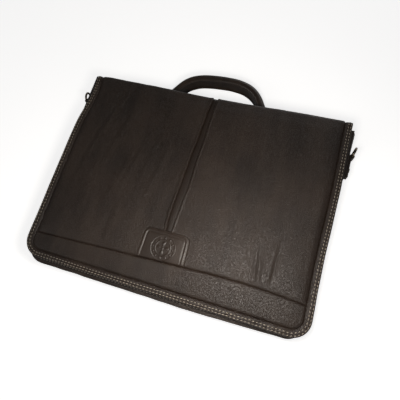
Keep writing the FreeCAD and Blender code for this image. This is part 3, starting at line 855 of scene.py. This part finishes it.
# The case: panels, gussets and the turned seams between them.
low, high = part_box("back_panel")
case = {
    "half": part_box("gusset_base")[1].x / mm + 25.0,      # the corner comes after the base
    "mouthHalf": high.x / mm,
    "bottom": low.y / mm,
    "mouth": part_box("gusset_right")[1].y / mm,
    "corner": 25.0,
    "flareStart": 45.0,
    "flareEnd": 82.0,
    "backTop": high.z / mm,
    "frontLow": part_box("front_panel")[0].z / mm,
    "frontTop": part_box("front_panel")[1].z / mm,
    "tuck": 3.4,              # how far the panels' mouth stays inside the gussets' fullest line
    "pushed": (2.4, 3.4),     # how far use has pushed in the lower right corner
    "shell": 1.3,
}


def caseRoute(step, tuck):
    half, mouth, bottom = case["half"], case["mouthHalf"] - tuck, case["bottom"]
    right = [(half, bottom), (half, case["flareStart"]), (mouth, case["flareEnd"]), (mouth, case["mouth"])]
    left = [(-x, y) for x, y in reversed(right)]
    points = route(left + right, [30, 30, case["corner"], case["corner"], 30, 30], step)
    for point in points:
        down = eased(-point.y, 95, 150)
        point.y += case["pushed"][1] * down * eased(point.x, 40, 180)
        point.x -= case["pushed"][0] * down * eased(point.x, 150, 198)
    return points


# A turned seam along the edge of a panel, soft and a little wavy.
def welt(name, level, side):
    points = caseRoute(3.0, case["tuck"])
    size, sides = 1.7, 12

    def ring(i):
        spot = points[i]
        push = 0.5 + 0.7 * wander(spot.x, spot.y, 26, level)
        fat = size * (1 + 0.12 * wander(spot.x, spot.y, 11, level + 3))
        return [(push + fat * 0.9 * math.cos(a), level + side * 0.2 + fat * math.sin(a))
                for a in (2 * math.pi * n / sides for n in range(sides))]

    piece = sweep(name, points, ring, "gussetHide")
    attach(piece, "case")
    return points


# A stretch of the walls between the panels: bellied, folded in the middle, flat behind the ring tabs.
def gussetSheet(name, start, end, *nodes):
    full = caseRoute(2.6, 0)
    points = full[start:end + 1]
    ways = headings(full)[start:end + 1]
    lowZ, highZ = case["backTop"] - 0.2, case["frontLow"] + 0.2

    def place(u, v):
        i = min(len(points) - 1, round(u * (len(points) - 1)))
        spot, out = points[i], ways[i].cross(up)
        z = lowZ + (highZ - lowZ) * v
        belly = math.sin(math.pi * v)
        fold = hump(v, 0.5, 0.12)
        mouthShare = eased(spot.y, 20, 140)
        shift = belly * (1.6 + 1.4 * mouthShare + 0.9 * wander(spot.x + spot.y, z, 30, 6.0))
        shift -= fold * (0.9 + 1.4 * mouthShare)
        shift += 0.35 * belly * wander(spot.x - spot.y, z * 2, 9, 2.0)
        tab = hump(spot.y, 95, 26) * hump(z, 34, 10) * abs(out.x)
        shift = shift * (1 - tab) + 0.2 * tab
        shift -= case["tuck"] * eased(spot.y, case["flareStart"], case["flareEnd"]) * abs(2 * v - 1) ** 5
        return (Vector((spot.x, spot.y, z)) + out * (shift - 0.1)) * mm

    sheet = gridSheet(name, len(points) - 1, 22, place, "gussetHide")
    thicken(sheet, case["shell"] * mm)
    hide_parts(*nodes)
    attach(sheet, "case")


def panelPlate(name, lowZ, highZ, top, node):
    points = caseRoute(4.0, case["tuck"])
    shape = bmesh.new()
    verts = [shape.verts.new((point.x * mm, min(point.y, top) * mm, lowZ * mm)) for point in points]
    face = shape.faces.new(verts)
    made = bmesh.ops.extrude_face_region(shape, geom=[face])["geom"]
    raised = [item for item in made if isinstance(item, bmesh.types.BMVert)]
    bmesh.ops.translate(shape, vec=(0, 0, (highZ - lowZ) * mm), verts=raised)
    bmesh.ops.recalc_face_normals(shape, faces=shape.faces)
    rims = [edge for edge in shape.edges if any(len(face.verts) > 4 for face in edge.link_faces)]
    bmesh.ops.bevel(shape, geom=rims, offset=0.6 * mm, segments=3, affect="EDGES", profile=0.5, material=-1)
    piece = keep(shape, name, "hide", smooth=False)
    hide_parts(node)
    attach(piece, "case")


def makeCase():
    whole = caseRoute(2.6, 0)
    baseHalf = case["half"] - case["corner"] + 0.1
    base = [i for i, point in enumerate(whole) if abs(point.x) < baseHalf]
    gussetSheet("gussetLeft", 0, base[0], "gusset_left")
    gussetSheet("gussetBase", base[0], base[-1], "gusset_base", "base_board")
    gussetSheet("gussetRight", base[-1], len(whole) - 1, "gusset_right")
    panelPlate("backPanel", 0.0, case["backTop"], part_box("back_panel")[1].y / mm, "back_panel")
    panelPlate("frontPanel", case["frontLow"], case["frontTop"], case["mouth"], "front_panel")
    backEdge = welt("backSeamWelt", case["backTop"] + 0.4, 1)
    frontEdge = welt("frontSeamWelt", case["frontLow"] - 0.2, -1)
    stitchRow("frontPanelStitches", besideRoute(frontEdge, -4.0), case["frontTop"], "case", 21)
    stitchRow("backPanelStitches", besideRoute(backEdge, -4.0), 0, "case", 23, -up)


makeCase()
print("case made")


# The spine between the creases, with the handle's feet on it.
low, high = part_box("spine_panel")
spine = {
    "half": high.x / mm,
    "face": high.y / mm,
    "high": high.z / mm,
    "backRadius": 4.0,
    "sink": 0.15,
    "lap": 9.0,
    "shell": 1.2,
    "rows": {"spineStitchLower": 9.0, "spineStitchUpper": 37.0},
}


def makeSpine():
    radius, sink, lap = spine["backRadius"], spine["sink"], spine["lap"]
    face = spine["face"] + 0.05
    arc = radius * math.pi / 2
    total = lap + arc + spine["high"] - 7 - radius

    def place(u, v):
        x = (2 * u - 1) * (spine["half"] - 0.3)
        s = v * total
        if s < lap:
            return Vector((x, face - radius - lap + s, -sink)) * mm
        if s < lap + arc:
            turn = (s - lap) / radius
            y = face - radius + radius * math.sin(turn)
            return Vector((x, y, radius - sink - radius * math.cos(turn))) * mm
        z = radius - sink + s - lap - arc
        wave = 0.5 * wander(x, s * 1.5, 34, 8.0) * eased(s, lap + arc, lap + arc + 12) * (1 - eased(z, 38, 46))
        return Vector((x, face + wave + creaseSag(x) * eased(z, 43, 52), z)) * mm

    skin = gridSheet("spineSkin", 150, 40, place, "hide")
    skin.data.flip_normals()
    thicken(skin, spine["shell"] * mm)
    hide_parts("spine_panel", "spine_board")
    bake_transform(skin)
    end = spine["half"] - 3.2
    for name, z in spine["rows"].items():
        line = [Vector((-end, face, z)), Vector((end, face, z))]
        stitchRow(name, line, 0.1, "spine", 41, Vector((0, 1, 0)))


# Centre line of the grip, seen from the front: the left foot splays and the right one stands up.
low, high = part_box("handle_cover")
handle = {
    "line": [(-72.5, 152.5), (-71.5, 158.0), (-66.0, 169.5), (-55.5, 181.5), (-40.0, 189.5), (-20.0, 193.2),
             (8.0, 194.8), (28.0, 193.3), (44.5, 187.8), (57.0, 177.8), (65.5, 166.0), (68.5, 157.5),
             (69.0, 152.5)],
    "level": (low.z + high.z) / 2 / mm,
    "bendFrom": 153.5,
    "bendTo": 167.0,
}


# A smooth curve near the given points, in even steps.
def smoothLine(points, step):
    curve = bpy.data.curves.new("line", "CURVE")
    curve.dimensions = "3D"
    curve.resolution_u = 16
    spline = curve.splines.new("NURBS")
    spline.points.add(len(points) - 1)
    for point, (x, y) in zip(spline.points, points):
        point.co = (x, y, 0, 1)
    spline.order_u = 3
    spline.use_endpoint_u = True
    carrier = bpy.data.objects.new("line", curve)
    mesh = bpy.data.meshes.new_from_object(carrier)
    line = [vert.co.copy() for vert in mesh.vertices]
    bpy.data.meshes.remove(mesh)
    bpy.data.objects.remove(carrier)
    bpy.data.curves.remove(curve)
    return evenly(line, step)


# The grip's section: a round back, a flat face each side and beaded edges round a flat inside.
gripHalf = [(5.0, 0), (5.1, 4.5), (5.3, 8.0), (6.0, 9.2), (6.9, 10.0), (6.9, 11.0), (6.0, 11.5), (5.0, 11.2),
            (4.3, 10.5), (3.4, 11.0), (1.5, 11.4), (-1.0, 11.2), (-3.4, 10.3), (-5.4, 8.4), (-6.5, 5.6),
            (-6.8, 2.6)]


def gripSection(thick, deep):
    whole = gripHalf + [(-6.9, 0)] + [(across, -rise) for across, rise in reversed(gripHalf[1:])]
    return [(across * thick, rise * deep) for across, rise in whole]


def makeHandle():
    points = [Vector((point.x, point.y, handle["level"])) for point in smoothLine(handle["line"], 2.0)]
    total = len(points) - 1

    def ring(i):
        share = abs(2 * i / total - 1)
        foot = eased(share, 0.84, 1.0)
        fat = 1 + 0.03 * wander(points[i].x, points[i].y, 15, 3.0)
        thick = fat * (1 - 0.12 * eased(share, 0.5, 0.85)) * (1 + 0.45 * foot)
        return gripSection(thick, 1 + 0.4 * (fat - 1))

    grip = sweep("handleCover", points, ring, "handleHide")
    finer = grip.modifiers.new("finer", "SUBSURF")
    finer.levels = finer.render_levels = 1
    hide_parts("handle_cover", "handle_core")
    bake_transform(grip)


front = {"inset": 3.2, "corner": 9.0, "zipRow": 2.4, "pitch": 1.6, "long": 2.3, "wide": 0.75, "high": 0.8,
         "apart": 1.35, "toothSink": 0.15, "toothEdge": 0.12}


# The pocket's stitching under the flap, and the zip's teeth.
def makeFront():
    low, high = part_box("pocket_panel")
    half, bottom = high.x / mm - front["inset"], low.y / mm + front["inset"]
    top, face = high.y / mm, high.z / mm
    line = [(-half, top - 2), (-half, bottom), (half, bottom), (half, top - 2)]
    stitchRow("pocketStitches", route(line, [front["corner"], front["corner"]], 2.0), face, "case", 31)
    trimLow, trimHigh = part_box("pocket_trim")
    rows = {"zipStitchLower": (top - front["zipRow"], face),
            "zipStitchUpper": (trimLow.y / mm + front["zipRow"], trimHigh.z / mm)}
    for name, (y, z) in rows.items():
        stitchRow(name, [Vector((-half, y, 0)), Vector((half, y, 0))], z, "case", 37)

    coilLow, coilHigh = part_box("zip_coil")
    teeth = bmesh.new()
    middle, rise = (coilLow.y + coilHigh.y) / 2 / mm, coilHigh.z / mm - front["toothSink"]
    grow = Matrix.Diagonal((front["wide"], front["long"], front["high"], 1))
    for n in range(int((coilHigh.x - coilLow.x) / mm / front["pitch"])):
        x = coilLow.x / mm + (n + 0.5) * front["pitch"]
        y = middle + (1 if n % 2 else -1) * front["apart"] / 2
        bmesh.ops.create_cube(teeth, size=mm, matrix=Matrix.Translation(Vector((x, y, rise)) * mm) @ grow)
    bmesh.ops.bevel(teeth, geom=teeth.edges[:], offset=front["toothEdge"] * mm, segments=1, affect="EDGES",
                    profile=0.5, material=-1)
    piece = keep(teeth, "zipTeeth", "coil")
    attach(piece, "case")


divider = {"clear": 0.6, "sideClear": 0.8, "channel": 0.5, "channelPitch": 46.0, "channelHalf": 1.6}


# A padded wall between the two compartments, sewn through in five channels.
def makeDivider():
    low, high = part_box("divider")
    half, bottom, top = high.x / mm, low.y / mm, high.y / mm
    level, thick = high.z / mm, (high.z - low.z) / mm
    corner, clear = case["corner"] - 4, divider["clear"]

    def place(u, v):
        y = bottom + clear + (top - bottom - 2 * clear) * v
        width = half - divider["sideClear"]
        if y < bottom + corner:
            width += math.sqrt(max(0.0, corner ** 2 - (corner - (y - bottom)) ** 2)) - corner
        if y < case["flareEnd"] and half > case["half"]:
            width -= (half - case["half"]) * (1 - eased(y, case["flareStart"], case["flareEnd"]))
        x = (2 * u - 1) * width
        rows = (bottom + divider["channelPitch"] * n for n in range(1, 6))
        channel = divider["channel"] * sum(hump(y, row, divider["channelHalf"]) for row in rows)
        return Vector((x, y, level - 0.25 - channel + 0.25 * wander(x, y, 30, 5.5))) * mm

    piece = gridSheet("dividerPad", 120, 90, place, "lining")
    thicken(piece, (thick - clear) * mm)
    rounded = piece.modifiers.new("rounded", "SUBSURF")
    rounded.levels = rounded.render_levels = 1
    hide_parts("divider")
    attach(piece, "case")


makeFront()
makeDivider()
makeSpine()
makeHandle()
print("front, divider, spine and handle made")


# Parts whose built shape is right keep it: the finish of each, and how far its edges are softened.
kept = {
    "flap_lining": ("lining", 0), "back_board": ("board", 0), "front_board": ("board", 0),
    "back_lining": ("lining", 0), "front_lining": ("lining", 0), "spine_lining": ("lining", 0),
    "slip_pocket": ("lining", 0), "divider_trim": ("tabHide", 0.8), "handle_feet": ("tabHide", 0.5),
    "handle_rivets": ("darkMetal", 0.5), "tab_rivets": ("darkMetal", 0.5),
    "ring_tab_left": ("tabHide", 0.6), "ring_tab_right": ("tabHide", 0.6),
    "d_ring_left": ("darkMetal", 0), "d_ring_right": ("darkMetal", 0), "zip_tapes": ("tape", 0),
    "zip_coil": ("coil", 0), "zip_stops": ("darkMetal", 0), "zip_slider": ("darkMetal", 0.25),
    "zip_puller": ("darkMetal", 0.3), "magnet_sockets": ("magnet", 0.4),
    "magnet_studs": ("magnet", 0.4), "pocket_panel": ("hide", 0.5), "pocket_trim": ("tabHide", 0.4),
}


def finishKept():
    for name, (material, softness) in kept.items():
        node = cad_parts[name]
        node.data.materials.clear()
        node.data.materials.append(finish[material])
        if softness:
            weld = node.modifiers.new("weld", "WELD")
            weld.merge_threshold = 0.01 * mm
            soften = node.modifiers.new("soften", "BEVEL")
            soften.width = softness * mm
            soften.segments = 3
            soften.limit_method = "ANGLE"
            soften.angle_limit = math.radians(40)


finishKept()
print("kept parts finished:", len(kept))
